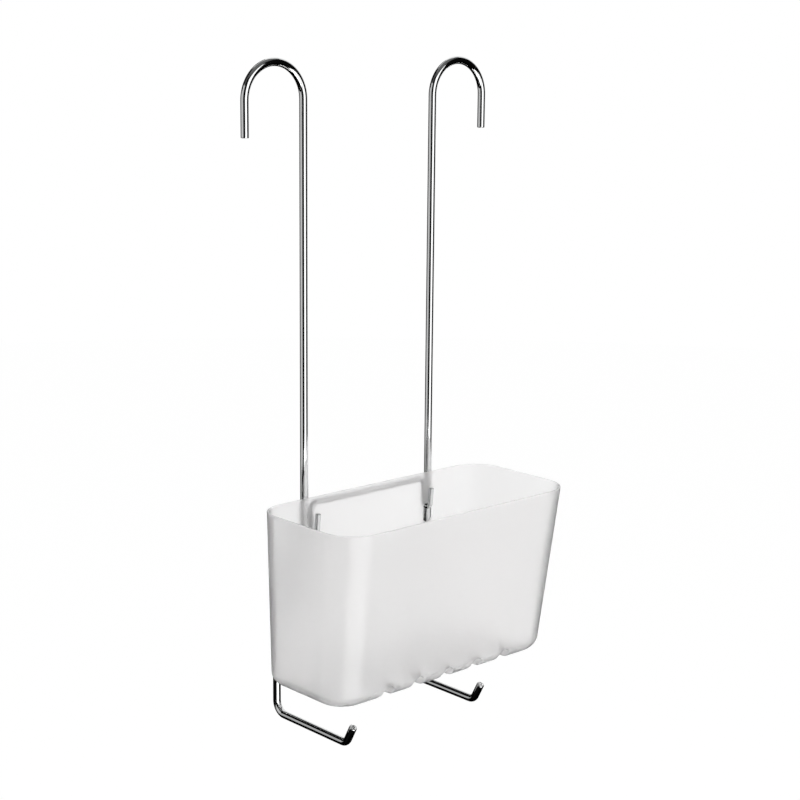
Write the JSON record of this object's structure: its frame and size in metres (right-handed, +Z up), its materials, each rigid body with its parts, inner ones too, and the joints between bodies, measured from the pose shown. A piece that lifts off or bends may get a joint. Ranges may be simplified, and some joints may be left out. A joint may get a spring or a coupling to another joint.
{
  "type": "hanging shower caddy",
  "caption": "Frosted plastic basket carried by J-hooks on a bent chrome wire frame with top hooks to hang it and open hooks below.",
  "frame": {"origin": "midway between the two top hooks, at the height where the inside of their crooks rests on what holds them", "axes": "+Z up; +X along the basket towards its right end as seen from the front; +Y back towards the wall, so the front faces -Y"},
  "size_m": [0.199, 0.1198, 0.421],
  "materials": {
    "frosted_plastic": "frosted, translucent natural polypropylene",
    "polished_chrome": "polished chrome plate on steel wire"
  },
  "bodies": {
    "frame": {"left_hanger_wire": "polished_chrome", "right_hanger_wire": "polished_chrome", "crossbar_wire": "polished_chrome"},
    "basket": {"basket": "frosted_plastic"}
  },
  "joints": [
    {"name": "basket_lift", "type": "slide", "parent": "frame", "child": "basket", "axis": [0, 0, 1], "range_m": [0, 0.008]}
  ]
}
